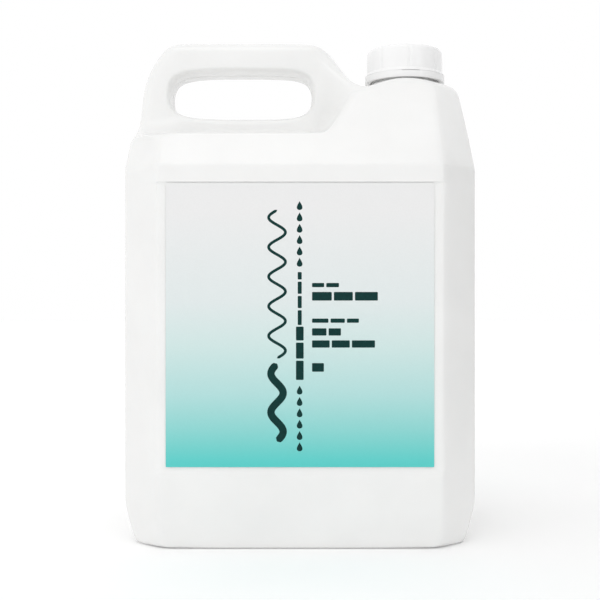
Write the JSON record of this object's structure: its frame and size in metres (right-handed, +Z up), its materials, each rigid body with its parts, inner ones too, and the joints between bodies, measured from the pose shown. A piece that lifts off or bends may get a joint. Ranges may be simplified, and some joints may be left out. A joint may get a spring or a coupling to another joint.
{
  "type": "shampoo bottle",
  "caption": "Large blow-moulded shampoo canister with a through-handle, printed labels and a tamper-evident screw cap over an open neck.",
  "frame": {"origin": "middle of the bounding box's base, on the surface that the bottle stands on", "axes": "+Z up, the front label faces -Y, the handle is on the -X side and the neck on the +X side"},
  "size_m": [0.1898, 0.134, 0.2803],
  "materials": {
    "bottle_plastic": "satin blow-moulded white polyethylene",
    "cap_plastic": "glossy injection-moulded white polypropylene",
    "liner_foam": "matte expanded foam",
    "label_film": "satin printed film, white fading to teal"
  },
  "bodies": {
    "bottle": {"bottle_body": "bottle_plastic", "front_label": "label_film", "back_label": "label_film"},
    "band": {"tamper_band": "cap_plastic"},
    "lift": {"cap_liner": "liner_foam"},
    "cap": {"screw_cap": "cap_plastic"}
  },
  "joints": [
    {"name": "band_spin", "type": "hinge", "parent": "bottle", "child": "band", "pos_m": [0.0615, 0, 0.2594], "axis": [0, 0, 1], "continuous": true},
    {"name": "cap_lift", "type": "slide", "parent": "bottle", "child": "lift", "axis": [0, 0, 1], "range_m": [0, 0.01261]},
    {"name": "cap_turn", "type": "hinge", "parent": "lift", "child": "cap", "pos_m": [0.0615, 0, 0.269], "axis": [0, 0, 1], "range_deg": [0, 1080]}
  ],
  "couplings": [
    {"joint": "cap_lift", "follows": "cap_turn", "m_per_rad": 0.00066845}
  ]
}
